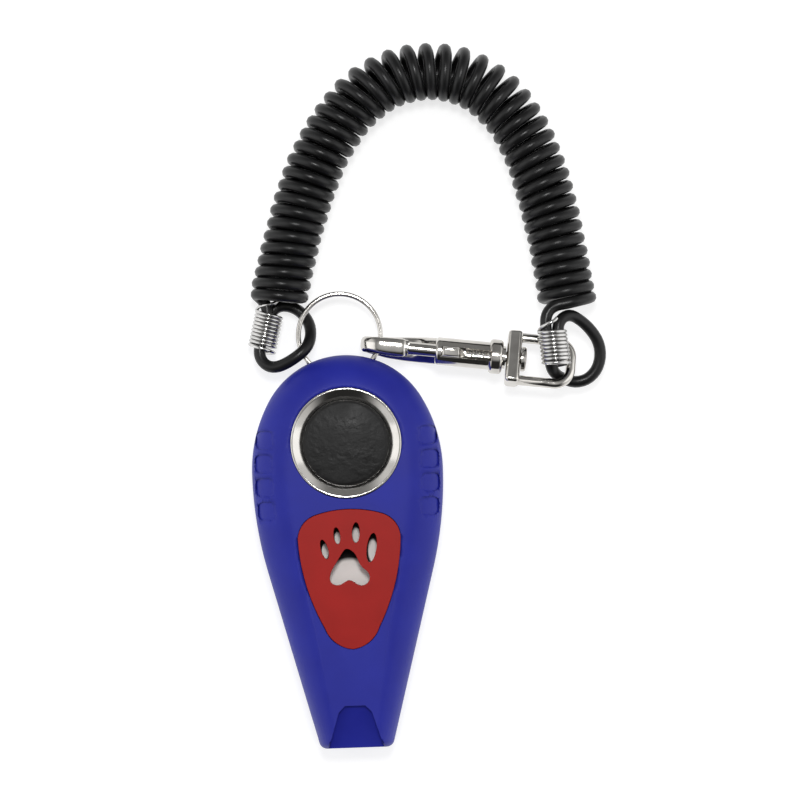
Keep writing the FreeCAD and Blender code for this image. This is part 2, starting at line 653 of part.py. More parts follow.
def upright(edge):
    """True for an edge that lies square to the snap's axis."""
    return edge.BoundBox.XLength < 0.01


armSolid = feature("hookArm", hookArm())
barrelRod = rodAlongX("barrel", dims.barrelRadius, dims.barrelStart, collarStart + inside)
barrel = rounded("barrelSoft", barrelRod, dims.barrelEdge, upright)
collarRod = rodAlongX("collar", dims.collarRadius, collarStart, collarEnd)
collar = rounded("collarSoft", collarRod, dims.collarEdge, upright)
neck = rodAlongX("neck", dims.neckRadius, collarEnd - inside, collarEnd + dims.neckLong)
hookBlank = fuse("hookBlank", armSolid, barrel, collar, neck)
boltBore = rodAlongX("boltBore", dims.boltRadius + dims.boltFit, armTip + inside, tailStart + inside)
tailBore = rodAlongX("tailBore", tailRadius + dims.boltFit, tailStart, boreEnd)
postBore = rodAlongX("postBore", dims.postShank, boreEnd - dims.past, collarEnd + dims.neckLong + dims.past)
slotHalf = dims.knobWide * 0.5 + dims.boltFit
knobSlot = block("knobSlot", tailStart, collarStart + inside, -slotHalf, slotHalf, 0,
                 dims.collarRadius + dims.past)
tipHole = rodAlongX("tipHole", dims.tipRadius + dims.tipSlack, armTip - dims.tipInto - dims.endGap * 2,
                    armTip + dims.past)
hookBody = onHook(cut("hook_body", hookBlank, boltBore, tailBore, postBore, knobSlot, tipHole))

tailEnd = boreEnd - dims.boltTravel - dims.endGap
tipFace = armTip + dims.endGap
boltTip = rodAlongX("boltTip", dims.tipRadius, armTip - dims.tipInto, tipFace + dims.endGap)
boltRod = rodAlongX("boltRod", dims.boltRadius, tipFace, tailStart + inside)
boltTail = rodAlongX("boltTail", tailRadius, tailStart + dims.boltFit, tailEnd)
knobX = tailStart + dims.endGap + dims.knobLong * 0.5
springSeat = knobX + dims.knobPin + dims.endGap
springRoom = rodAlongX("springRoom", dims.springRadius + dims.springWire, springSeat, tailEnd + dims.past)
knobLow = dims.barrelRadius + dims.knobGap
knobHole = rod("knobHole", dims.knobPin, 0, knobLow, knobX, 0)
hookBolt = onHook(cut("hook_bolt", fuse("boltBlank", boltTip, boltRod, boltTail), springRoom, knobHole))

knobBlock = block("knobBlock", knobX - dims.knobLong * 0.5, knobX + dims.knobLong * 0.5, dims.knobWide * -0.5,
                  dims.knobWide * 0.5, tailRadius + dims.knobFoot, knobLow + dims.knobHigh)
knobPad = rounded("knobPad", knobBlock, dims.knobEdge, lambda edge: edge.BoundBox.ZMin > float(knobLow))
knobStem = rod("knobStem", dims.knobPin, dims.knobStemLow, knobLow, knobX, 0)
boltKnob = onHook(fuse("bolt_knob", knobPad, knobStem))


def springCoil():
    """The bolt's spring: an open helix between the bolt's pocket and the barrel's end wall."""
    wire, radius = float(dims.springWire), float(dims.springRadius) - float(dims.springWire) / 2
    start = float(springSeat) + wire
    length = float(boreEnd) - start - wire
    helix = Part.makeHelix(length / float(dims.springTurns), length, radius)
    section = Part.Wire([Part.Circle(Vector(radius, 0, 0), Vector(0, 1, 0), wire / 2).toShape()])
    solid = Part.Wire(helix.Edges).makePipeShell([section], True, True)
    along = Placement(Vector(start, 0, 0), Rotation(Vector(0, 1, 0), 90))
    return solid.transformGeometry(along.toMatrix())


boltSpring = onHook(feature("bolt_spring", springCoil()))

headStart = eyeStart + dims.eyeBase + dims.eyeGap * 0.5
headRod = rodAlongX("rivetHead", dims.rivetHead, headStart, headStart + dims.rivetHeadLong)
rivetHead = rounded("rivetHeadSoft", headRod, dims.rivetEdge,
                    lambda edge: upright(edge) and edge.BoundBox.XMin > float(headStart))
rivetShank = rodAlongX("rivetShank", dims.postShank, boreEnd, headStart + dims.endGap)
swivelRivet = onHook(fuse("swivel_rivet", rivetShank, rivetHead))


def eyeLoop():
    """The eye's bar: two straight legs and a rounded far end."""
    half, end, corner = float(dims.eyeHalf), float(eyeEnd), float(dims.eyeCorner)
    start = float(eyeStart + dims.eyeInto)
    k = corner * (1 - math.sqrt(0.5))

    def arc(side):
        return Part.Arc(Vector(end - corner, side * half, 0), Vector(end - k, side * (half - k), 0),
                        Vector(end, side * (half - corner), 0)).toShape()

    path = [
        Part.LineSegment(Vector(start, half, 0), Vector(end - corner, half, 0)).toShape(), arc(1),
        Part.LineSegment(Vector(end, half - corner, 0), Vector(end, corner - half, 0)).toShape(), arc(-1),
        Part.LineSegment(Vector(end - corner, -half, 0), Vector(start, -half, 0)).toShape(),
    ]
    section = Part.Wire([Part.Circle(Vector(start, half, 0), Vector(1, 0, 0), float(dims.eyeBar)).toShape()])
    return sweep(path, section)


eyeSide = dims.eyeHalf + dims.eyeBar
eyeBlock = block("eyeBaseBlock", eyeStart, eyeStart + dims.eyeBase, -eyeSide, eyeSide,
                 dims.eyeBaseHigh * -0.5, dims.eyeBaseHigh * 0.5)
eyeBase = rounded("eyeBaseSoft", eyeBlock, dims.eyeEdge, lambda edge: True)
eyeBore = rodAlongX("eyeBore", dims.postShank + dims.boltFit, eyeStart - dims.past,
                    eyeStart + dims.eyeBase + dims.past)
swivelEye = cut("swivel_eye", fuse("eyeBlank", feature("eyeLoop", eyeLoop()), eyeBase), eyeBore)
rollX = Rotation(Vector(1, 0, 0), float(dims.eyeRoll))
swivelEye.Placement = hookPlace.multiply(Placement(Vector(0, 0, 0), rollX))
place(swivelEye, hookX, hookY, hookZ)

# ---- wrist cord ----------------------------------------------------------------

# Routes by hand, along the cord: the curly stretch's middle line, then the two loops.
coilRoute = [
    (-13.9, 55.9, 6.5), (-11.1, 66.8, 6.6), (-7.9, 77.0, 6.5), (-4.3, 86.2, 6.6), (0.9, 94.6, 6.5),
    (7.0, 100.8, 6.6), (14.5, 104.3, 6.5), (22.9, 104.9, 6.6), (30.6, 102.6, 6.5), (36.9, 97.4, 6.6),
    (41.5, 90.0, 6.5), (44.6, 81.0, 6.6), (46.8, 71.4, 6.5), (48.4, 61.9, 6.6), (49.6, 52.6, 6.5)]
leftRoute = [
    (-17.6, 46.4, 3.7), (-16.95, 49.0, 3.7), (-16.3, 51.7, 3.65), (-15.3, 54.0, 3.5), (-13.2, 55.0, 3.35),
    (-10.8, 54.3, 3.15), (-8.7, 52.5, 3.2), (-7.2, 50.0, 4.2), (-7.0, 47.2, 6.6), (-7.9, 44.9, 8.5),
    (-10.0, 43.1, 9.1), (-12.5, 41.6, 8.6), (-14.7, 40.8, 7.9), (-16.6, 41.0, 7.35), (-18.0, 42.3, 6.85),
    (-18.55, 44.1, 6.5), (-18.15, 46.2, 6.32), (-17.3, 48.4, 6.3), (-16.6, 50.8, 6.3), (-15.95, 53.3, 6.4),
    (-15.9, 55.4, 6.9), (-17.0, 57.3, 7.6), (-18.3, 59.1, 8.0)]
rightRoute = [
    (45.7, 53.6, 9.6), (45.4, 51.8, 9.9), (44.7, 50.2, 11.0), (44.35, 48.1, 11.9), (44.55, 45.6, 12.0),
    (44.8, 43.2, 12.0), (45.0, 40.9, 12.0), (45.25, 38.9, 11.2), (45.9, 37.6, 9.6), (47.0, 36.7, 7.9),
    (48.7, 35.8, 6.8), (50.9, 35.2, 6.5), (53.5, 35.8, 6.5), (55.6, 37.9, 6.6), (56.5, 41.0, 6.8),
    (56.0, 44.2, 7.3), (54.1, 47.0, 8.2), (52.0, 48.9, 9.2), (50.1, 50.0, 10.2), (48.35, 49.65, 11.25),
    (47.1, 48.2, 11.95), (46.95, 46.1, 12.05), (47.25, 43.9, 12.0), (47.5, 41.9, 12.0)]


def routeWire(name, points):
    """Straight runs joined by tangent arcs, each as large as its two runs allow."""
    corners = [Vector(*point) for point in points]
    share = 0.45
    edges, radii = [], []
    here = corners[0]
    for before, corner, after in zip(corners, corners[1:], corners[2:]):
        back, on = before - corner, after - corner
        reach = share * min(back.Length, on.Length)
        turn = math.pi - back.getAngle(on)
        radius = reach / math.tan(turn / 2)
        start, end = corner + back.normalize() * reach, corner + on.normalize() * reach
        toCentre = (start + end) * 0.5 - corner
        centre = corner + toCentre.normalize() * math.hypot(reach, radius)
        middle = centre + (corner - centre).normalize() * radius
        edges.append(Part.LineSegment(here, start).toShape())
        edges.append(Part.Arc(start, middle, end).toShape())
        radii.append(round(radius, 1))
        here = end
    edges.append(Part.LineSegment(here, corners[-1]).toShape())
    print(name, "arc radii", radii)
    return Part.Wire(edges)


def cordTube(name, points, radius, hollow=0.0):
    """A round tube along a route, its volume compared with its section times its length."""
    path = routeWire(name, points)
    start = Vector(*points[0])
    along = Vector(*points[1]) - start

    def swept(sectionRadius):
        ring = Part.Wire([Part.Circle(start, along, sectionRadius).toShape()])
        return path.makePipeShell([ring], True, False)

    tube = swept(radius)
    if hollow:
        tube = tube.cut(swept(hollow))
    expected = math.pi * (radius ** 2 - hollow ** 2) * path.Length
    print(name, "length %.1f volume %.0f section x length %.0f" % (path.Length, tube.Volume, expected))
    return feature(name, tube)


coilRadius = float(dims.coilOuter) / 2
cordRadius = float(dims.cordWide) / 2
cordCoil = cordTube("cord_coil", coilRoute, coilRadius, coilRadius - 2 * cordRadius)
cordLoopLeft = cordTube("cord_loop_left", leftRoute, cordRadius)
cordLoopRight = cordTube("cord_loop_right", rightRoute, cordRadius)


def crimp(name, centre, axis, long):
    """A close-wound crimp spring, as a plain sleeve round the two strands."""
    sleeve = cut(name, rod(name + "Outside", crimpOuter * 0.5, long * -0.5, long * 0.5),
                 rod(name + "Inside", crimpInner * 0.5, long * -0.5 - dims.past, long * 0.5 + dims.past))
    sleeve.Placement = Placement(Vector(*centre), Rotation(Vector(0, 0, 1), Vector(*axis)))
    return sleeve


crimpLeft = crimp("crimp_left", (-17.0, 48.8, 5.0), (0.242, 0.970, 0), dims.crimpLeftLong)
crimpRight = crimp("crimp_right", (46.05, 43.2, 12.0), (-0.087, 0.996, 0), dims.crimpRightLong)

# ---- check and write -----------------------------------------------------------

pieces = [frontShell, rearShell, bezelDish, buttonCap, clickReed, pawInsert, whistleBlock, casingScrews,
          splitRing, hookBody, hookBolt, boltKnob, boltSpring, swivelRivet, swivelEye, crimpLeft, crimpRight,
          cordCoil, cordLoopLeft, cordLoopRight]
doc.recompute()
for thing in doc.Objects:
    if "Invalid" in thing.State or "Error" in thing.State:
        raise RuntimeError("%s failed: %s" % (thing.Name, thing.State))
for piece in pieces:
    if piece.Shape.isNull() or not piece.Shape.isValid() or not piece.Shape.Solids:
        raise RuntimeError("%s has no valid solid" % piece.Label)

os.makedirs("parts", exist_ok=True)
for piece in pieces:
    piece.Label = piece.Name
    piece.Shape.exportStep("parts/%s.step" % piece.Label)
    print(piece.Label, len(piece.Shape.Solids), "solids, volume %.1f" % piece.Shape.Volume)
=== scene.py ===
import json
import math

import bmesh
import bpy
import numpy as np
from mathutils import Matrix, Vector


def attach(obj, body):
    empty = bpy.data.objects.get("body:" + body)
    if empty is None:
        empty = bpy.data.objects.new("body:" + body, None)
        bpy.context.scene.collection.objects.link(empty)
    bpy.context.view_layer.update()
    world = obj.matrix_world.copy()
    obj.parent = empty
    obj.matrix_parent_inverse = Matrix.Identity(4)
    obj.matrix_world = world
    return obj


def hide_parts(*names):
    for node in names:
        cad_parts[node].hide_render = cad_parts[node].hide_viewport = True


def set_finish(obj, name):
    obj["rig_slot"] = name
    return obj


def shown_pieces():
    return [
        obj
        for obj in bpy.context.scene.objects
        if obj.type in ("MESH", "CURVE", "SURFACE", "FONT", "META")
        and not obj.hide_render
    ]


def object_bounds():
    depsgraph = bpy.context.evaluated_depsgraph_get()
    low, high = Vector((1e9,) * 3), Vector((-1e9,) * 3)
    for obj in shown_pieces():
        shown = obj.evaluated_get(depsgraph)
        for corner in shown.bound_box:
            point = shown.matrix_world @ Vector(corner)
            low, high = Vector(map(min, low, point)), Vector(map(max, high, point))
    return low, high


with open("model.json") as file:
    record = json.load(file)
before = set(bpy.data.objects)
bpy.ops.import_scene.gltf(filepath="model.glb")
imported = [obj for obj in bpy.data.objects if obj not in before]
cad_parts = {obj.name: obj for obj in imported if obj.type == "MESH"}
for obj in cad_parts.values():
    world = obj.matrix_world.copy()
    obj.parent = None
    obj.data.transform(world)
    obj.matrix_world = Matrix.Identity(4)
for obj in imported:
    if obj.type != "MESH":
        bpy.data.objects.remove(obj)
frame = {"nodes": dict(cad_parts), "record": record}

# A pet training clicker: casing, push button, paw insert, split ring, bolt snap and curly wrist cord.
# Sizes in the dictionaries are in millimetres, and angles in degrees, unless a note says otherwise.
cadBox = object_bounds()
nodes = frame["nodes"]
mm = 0.001
slotOf = {row["node"]: row["material_slot"] for row in frame["record"]["subparts"]}
bodyOf = {node: body for body, members in frame["record"]["behaviour"]["bodies"].items() for node in members}

camera = {"height": 700, "lens": 142, "roll": -2.0, "right": -6.1, "up": -1.4, "near": 50, "far": 5000}


def makeCamera():
    data = bpy.data.cameras.new("camera")
    data.lens = camera["lens"]
    data.clip_start, data.clip_end = camera["near"] * mm, camera["far"] * mm
    eye = bpy.data.objects.new("camera", data)
    middle = (cadBox[0] + cadBox[1]) / 2
    eye.location = (middle.x + camera["right"] * mm, middle.y + camera["up"] * mm, camera["height"] * mm)
    eye.rotation_euler = (0, 0, math.radians(camera["roll"]))
    bpy.context.scene.collection.objects.link(eye)
    bpy.context.scene.camera = eye


makeCamera()
print("camera in place")


def newPiece(name, mesh, body, slot, replaced=()):
    piece = bpy.data.objects.new(name, mesh)
    bpy.context.scene.collection.objects.link(piece)
    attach(piece, body)
    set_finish(piece, slot)
    if replaced:
        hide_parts(*replaced)
    return piece


def gridMesh(name, points, closedU=False, closedV=False, capped=False):
    # rows run along u and columns along v; a face joins each cell's four corners and looks along u x v
    rows, columns = points.shape[:2]
    index = np.arange(rows * columns).reshape(rows, columns)
    ends = [index[0].tolist(), index[-1, ::-1].tolist()]
    if closedU:
        index = np.vstack([index, index[:1]])
    if closedV:
        index = np.hstack([index, index[:, :1]])
    cells = np.stack([index[:-1, :-1], index[1:, :-1], index[1:, 1:], index[:-1, 1:]], -1).reshape(-1, 4)
    mesh = bpy.data.meshes.new(name)
    mesh.from_pydata(points.reshape(-1, 3).tolist(), [], cells.tolist() + (ends if capped else []))
    mesh.shade_smooth()
    return mesh


def turnedPoints(profile, centre, sides=180):
    # each (radius, height) of the profile goes round an upright line through centre: out on top, down outside
    profile = np.array(profile, float)
    angle = np.linspace(0, 2 * np.pi, sides, endpoint=False)
    circle = np.stack([np.cos(angle), np.sin(angle)], -1)
    around = profile[:, None, :1] * circle[None]
    high = np.broadcast_to(profile[:, None, 1:], around.shape[:2] + (1,))
    return np.concatenate([around, high], -1) * mm + np.array(centre) * mm


def sharpEdges(mesh, degrees):
    mesh.shade_smooth()
    mesh.set_sharp_from_angle(angle=math.radians(degrees))


def averaged(values, window, **padding):
    # each value becomes the mean of the window of values round it
    return np.convolve(np.pad(values, window // 2, **padding), np.ones(window) / window, "valid")


def squarer(values, power):
    # a sine or cosine keeps its sign and takes a power under one, which makes a circle a soft square
    return np.sign(values) * np.abs(values) ** power


merging = {"apart": 0.001, "flat": 0.15, "segments": 2}


def mergedCopy(name, node, bevel, degrees):
    # the node's own shape, its loose triangles joined and its flat faces merged, with softened edges
    mesh = nodes[node].data.copy()
    mesh.name = name
    work = bmesh.new()
    work.from_mesh(mesh)
    bmesh.ops.remove_doubles(work, verts=work.verts, dist=merging["apart"] * mm)
    flat = math.radians(merging["flat"])
    bmesh.ops.dissolve_limit(work, angle_limit=flat, verts=work.verts, edges=work.edges)
    work.to_mesh(mesh)
    work.free()
    mesh.materials.clear()
    sharpEdges(mesh, degrees)
    piece = newPiece(name, mesh, bodyOf[node], slotOf[node], [node])
    if bevel:
        soft = piece.modifiers.new("soft edges", "BEVEL")
        soft.width = bevel * mm
        soft.segments = merging["segments"]
        soft.limit_method = "ANGLE"
        soft.angle_limit = math.radians(degrees)
        soft.harden_normals = True
        soft.miter_outer = "MITER_ARC"
    return piece


# fan spreads the turns where the coil bends, uneven varies their radius and lean tips them along the coil;
# the paces of sway and lean are in radians a turn
cord = {"width": 2.6, "coilOuter": 13.0, "turns": 44, "turnPoints": 16, "startAngle": 165, "endAngle": 80,
        "fan": 1.3, "uneven": 0.1, "swayFast": 1.9, "swaySlow": 0.73, "swayStart": 1.0,
        "lean": 0.35, "leanPace": 0.41, "leanStart": 0.5, "samples": 4000, "smoothing": 161,
        "drawSteps": 3, "lengthMetres": 1.53}

coilRoute = [
    (-13.9, 55.9, 6.5), (-11.1, 66.8, 6.6), (-7.9, 77.0, 6.5), (-4.3, 86.2, 6.6), (0.9, 94.6, 6.5),
    (7.0, 100.8, 6.6), (14.5, 104.3, 6.5), (22.9, 104.9, 6.6), (30.6, 102.6, 6.5), (36.9, 97.4, 6.6),
    (41.5, 90.0, 6.5), (44.6, 81.0, 6.6), (46.8, 71.4, 6.5), (48.4, 61.9, 6.6), (49.6, 52.6, 6.5)]
leftRoute = [
    (-17.6, 46.4, 3.7), (-16.95, 49.0, 3.7), (-16.3, 51.7, 3.65), (-15.2, 53.7, 3.5), (-13.2, 54.5, 3.35),
    (-10.8, 54.0, 3.15), (-8.7, 52.5, 3.2), (-7.2, 50.0, 4.2), (-7.0, 47.2, 6.6),
    (-7.9, 44.9, 8.5), (-10.0, 43.1, 9.1), (-12.5, 41.6, 8.6), (-14.7, 40.8, 7.9), (-16.6, 41.0, 7.35),
    (-18.0, 42.3, 6.85), (-18.55, 44.1, 6.5), (-18.15, 46.2, 6.32), (-17.3, 48.4, 6.3), (-16.6, 50.8, 6.3),
    (-16.3, 53.2, 6.1), (-16.9, 55.1, 6.0), (-18.1, 56.4, 6.4)]
rightRoute = [
    (46.9, 52.2, 11.6), (45.3, 51.3, 11.8), (44.5, 49.8, 11.95), (44.35, 48.1, 12.0), (44.55, 45.6, 12.0),
    (44.8, 43.2, 12.0), (45.0, 40.9, 12.0), (45.25, 38.9, 11.2), (45.9, 37.6, 9.6), (47.0, 36.7, 7.9),
    (48.7, 35.8, 6.8), (50.9, 35.2, 6.5), (53.5, 35.8, 6.5), (55.6, 37.9, 6.6), (56.5, 41.0, 6.8),
    (56.0, 44.2, 7.3), (54.1, 47.0, 8.2), (52.0, 48.9, 9.2), (50.1, 50.0, 10.2), (48.35, 49.65, 11.25),
    (47.1, 48.2, 11.95), (46.95, 46.1, 12.05), (47.25, 43.9, 12.0), (47.5, 41.9, 12.0)]


def nurbsCurve(name, points, resolution=12):
    data = bpy.data.curves.new(name, "CURVE")
    data.dimensions = "3D"
    data.resolution_u = resolution
    spline = data.splines.new("NURBS")
    spline.points.add(len(points) - 1)
    weighted = np.ones((len(points), 4))
    weighted[:, :3] = points
    spline.points.foreach_set("co", weighted.ravel())
    spline.order_u = 3
    spline.use_endpoint_u = True
    curve = bpy.data.objects.new(name, data)
    bpy.context.scene.collection.objects.link(curve)
    return curve


def linePoints(name, points, resolution=12):
    # the smooth line that a NURBS spline draws through its control points, as an array
    curve = nurbsCurve(name, points, resolution)
    mesh = bpy.data.meshes.new_from_object(curve)
    line = np.empty(len(mesh.vertices) * 3)
    mesh.vertices.foreach_get("co", line)
    bpy.data.objects.remove(curve)
    bpy.data.meshes.remove(mesh)
    return line.reshape(-1, 3)


def unit(vectors):
    return vectors / np.linalg.norm(vectors, axis=-1, keepdims=True)


def coilPoints():
    # round the coil's line, the cord turns at a steady radius; the turns spread where that line bends
    line = linePoints("coilLine", np.array(coilRoute) * mm)
    run = np.concatenate([[0], np.cumsum(np.linalg.norm(np.diff(line, axis=0), axis=1))])
    along = np.linspace(0, run[-1], cord["samples"])
    axis = np.stack([averaged(np.interp(along, run, line[:, k]), cord["smoothing"], mode="reflect",
                              reflect_type="odd") for k in range(3)], -1)
    tangent = unit(np.gradient(axis, axis=0))
    bend = np.linalg.norm(np.gradient(tangent, along, axis=0), axis=1)
    radius = (cord["coilOuter"] - cord["width"]) / 2 * mm
    density = 1 / (1 + cord["fan"] * bend * radius)
    total = cord["turns"] + (cord["startAngle"] - cord["endAngle"]) / 360
    phase = np.cumsum(density)
    phase = (phase - phase[0]) / (phase[-1] - phase[0]) * total
    steps = int(round(total * cord["turnPoints"])) + 1
    turn = np.linspace(0, total, steps)
    axisAt = np.stack([np.interp(turn, phase, axis[:, k]) for k in range(3)], -1)
    tangentAt = unit(np.stack([np.interp(turn, phase, tangent[:, k]) for k in range(3)], -1))
    sideways = unit(np.cross(tangentAt, (0, 0, 1)))
    upward = np.cross(sideways, tangentAt)
    angle = math.radians(cord["startAngle"]) - turn * 2 * math.pi
    uneven = cord["uneven"] * mm
    sway = (np.sin(turn * cord["swayFast"]) + np.sin(turn * cord["swaySlow"] + cord["swayStart"])) / 2
    cut = 0.75 + 0.25 * math.cos(2 * math.pi / cord["turnPoints"])  # the spline passes inside its points
    reach = (radius - uneven + uneven * sway)[:, None] / cut
    tipping = np.sin(turn * cord["leanPace"] + cord["leanStart"])
    lean = cord["lean"] * mm * (tipping * np.cos(angle))[:, None]
    circle = np.cos(angle)[:, None] * sideways + np.sin(angle)[:, None] * upward
    return axisAt + reach * circle + lean * tangentAt


def makeCord():
    points = np.concatenate([np.array(leftRoute) * mm, coilPoints(), np.array(rightRoute) * mm])
    path = linePoints("cordLine", points, cord["drawSteps"])
    curve = nurbsCurve("cordCurve", points, cord["drawSteps"])
    curve.data.bevel_depth = cord["width"] / 2 * mm
    curve.data.bevel_resolution = cord["drawSteps"]
    curve.data.use_fill_caps = True
    mesh = bpy.data.meshes.new_from_object(curve)
    mesh.shade_smooth()
    bpy.data.objects.remove(curve)
    stretches = ["cord_coil", "cord_loop_left", "cord_loop_right"]
    return newPiece("wrist_cord", mesh, "lanyard", "cord_rubber", stretches), path


wristCord, cordPath = makeCord()
print("cord made")

crimps = {
    "crimp_left": {"centre": (-17.0, 48.8, 5.0), "axis": (0.242, 0.970, 0), "length": 7.3, "turns": 9,
                   "openTurn": 1.5, "hookRise": 3.2, "shift": 0.3},
    "crimp_right": {"centre": (46.05, 43.2, 12.0), "axis": (-0.087, 0.996, 0), "length": 6.6, "turns": 8,
                    "openTurn": 1.2, "hookRise": 2.8, "shift": 0.1},
}
# lead and hook are the turns before and after the close ones; the hook goes round from leave to reach
crimpWire = {"width": 0.78, "radius": 3.0, "steps": 28, "sides": 10, "lead": 0.9, "hook": 0.55, "leave": 195,
             "reach": 55, "closeIn": 0.72, "smoothing": 5}


def makeCrimp(name, facts):
    # a wire round the two strands: one open turn, close turns, then an end that bends back over the cord
    axis = unit(np.array(facts["axis"], float))
    sideways = np.cross(axis, (0, 0, 1))
    turns, lead, hook = facts["turns"], crimpWire["lead"], crimpWire["hook"]
    turn = np.linspace(-lead, turns + hook, int((turns + lead + hook) * crimpWire["steps"]))
    climb = np.interp(turn, [-lead, 0, turns, turns + hook],
                      [-facts["openTurn"], 0, facts["length"], facts["length"] + facts["hookRise"]])
    tail = np.clip((turn - turns) / hook, 0, 1)
    wound = math.radians(crimpWire["leave"]) + (np.minimum(turn, turns) - turns) * 2 * np.pi
    angle = wound + math.radians(crimpWire["reach"] - crimpWire["leave"]) * tail ** 2 * (3 - 2 * tail)
    radial = np.cos(angle)[:, None] * sideways + np.sin(angle)[:, None] * np.array((0, 0, 1))
    reach = crimpWire["radius"] * (1 - (1 - crimpWire["closeIn"]) * tail)
    base = np.array(facts["centre"]) - axis * (facts["length"] / 2 - facts["shift"])
    line = base + axis * climb[:, None] + radial * reach[:, None]
    line = np.stack([averaged(line[:, k], crimpWire["smoothing"], mode="edge") for k in range(3)], -1)
    tangent = unit(np.gradient(line, axis=0))
    across = unit(np.cross(tangent, radial))
    outward = np.cross(across, tangent)
    spin = np.linspace(0, 2 * np.pi, crimpWire["sides"], endpoint=False)
    section = np.cos(spin)[None, :, None] * outward[:, None] - np.sin(spin)[None, :, None] * across[:, None]
    points = (line[:, None] + section * crimpWire["width"] / 2) * mm
    mesh = gridMesh(name, points, closedV=True, capped=True)
    return newPiece(name + "_wire", mesh, "lanyard", "spring_steel", [name])


crimpPieces = [makeCrimp(name, facts) for name, facts in crimps.items()]
print("crimps made")

# each node's bevel width, and the turn between two faces past which their edge is sharp
softened = {
    "front_shell": (0.0, 28), "rear_shell": (0.0, 28), "paw_insert": (0.12, 40), "click_reed": (0.0, 30),
    "whistle_block": (0.15, 30), "casing_screws": (0.0, 30), "hook_body": (0.12, 35), "hook_bolt": (0.0, 35),
    "bolt_knob": (0.0, 35), "bolt_spring": (0.0, 50), "swivel_rivet": (0.0, 35), "swivel_eye": (0.0, 35),
}
copies = {node: mergedCopy(node + "_part", node, bevel, sharp) for node, (bevel, sharp) in softened.items()}
for node in ("front_shell", "rear_shell", "paw_insert"):
    weigh = copies[node].modifiers.new("even shading", "WEIGHTED_NORMAL")
    weigh.keep_sharp = True
print("copies made")

head = {"centre": (0, 23.8, 0), "top": 16.0}
# lip holds two points of the rim, as ways in from its outside and up from the casing; rollEnd is in radians
dish = {"inner": 9.6, "foot": 9.75, "outer": 12.05, "body": 11.4, "deep": 1.3, "low": 13.35, "seat": 15.3,
        "footDrop": 0.05, "lip": [(0.62, 0.03), (0.5, 0.11)], "rollWide": 0.3, "rollHigh": 0.27,
        "rollDrop": 0.14, "rollEnd": 1.4, "rollSteps": 6, "sharp": 35}


def makeDish():
    # a seat, a straight cone and a thin rolled rim, which is part of an ellipse
    top, rim, wide, high = head["top"], dish["outer"], dish["rollWide"], dish["rollHigh"]
    roll = [(rim - wide + wide * math.sin(a), top - dish["rollDrop"] + high * math.cos(a))
            for a in np.linspace(0, dish["rollEnd"], dish["rollSteps"])]
    lip = [(rim - inwards, top + rise) for inwards, rise in dish["lip"]]
    floor = top - dish["deep"]
    profile = [(dish["inner"], dish["low"]), (dish["inner"], floor - dish["footDrop"]), (dish["foot"], floor),
               *lip, *roll, (rim, dish["seat"]), (dish["body"], dish["seat"]), (dish["body"], dish["low"])]
    mesh = gridMesh("bezel_dish_turn", turnedPoints(profile, head["centre"]), closedU=True, closedV=True)
    sharpEdges(mesh, dish["sharp"])
    newPiece("bezel_dish_turn", mesh, "casing", "polished_steel", ["bezel_dish"])


# edgeStart and edgeEnd are in radians
button = {"radius": 9.45, "proud": 0.5, "domeRadius": 60.0, "domeSteps": 14, "edge": 1.1, "edgeStart": 0.2,
          "edgeEnd": 1.57, "edgeSteps": 8, "flange": 10.6, "flangeTop": 13.2, "flangeLow": 12.0, "nub": 2.5,
          "nubLow": 11.25, "middle": 0.05, "sharp": 40}


def makeButton():
    # a shallow dome, which falls by r x r / 2R, a rounded edge, the stem, the hidden flange and the nub below
    radius, edge, middle = button["radius"], button["edge"], button["middle"]
    crown, domeEnd = head["top"] + button["proud"], radius - edge
    fall = domeEnd ** 2 / (2 * button["domeRadius"])
    dome = [(r, crown - r ** 2 / (2 * button["domeRadius"]))
            for r in np.linspace(middle, domeEnd, button["domeSteps"])]
    rounding = [(domeEnd + edge * math.sin(a), crown - fall - edge + edge * math.cos(a))
                for a in np.linspace(button["edgeStart"], button["edgeEnd"], button["edgeSteps"])]
    below = [(radius, button["flangeTop"]), (button["flange"], button["flangeTop"]),
             (button["flange"], button["flangeLow"]), (button["nub"], button["flangeLow"]),
             (button["nub"], button["nubLow"]), (middle, button["nubLow"])]
    points = turnedPoints(dome + rounding + below, head["centre"])
    mesh = gridMesh("button_cap_turn", points, closedV=True, capped=True)
    sharpEdges(mesh, button["sharp"])
    newPiece("button_cap_turn", mesh, "button", "black_plastic", ["button_cap"])


# start, stepTurn and endGap are in radians
ring = {"centre": (-0.76, 47.45), "outer": 9.57, "wide": 1.1, "thick": 0.96, "low": 5.5, "step": 0.98,
        "stepTurn": 0.8, "endGap": 0.1, "start": -1.2, "square": 0.75, "sides": 16, "steps": 420, "sharp": 60}


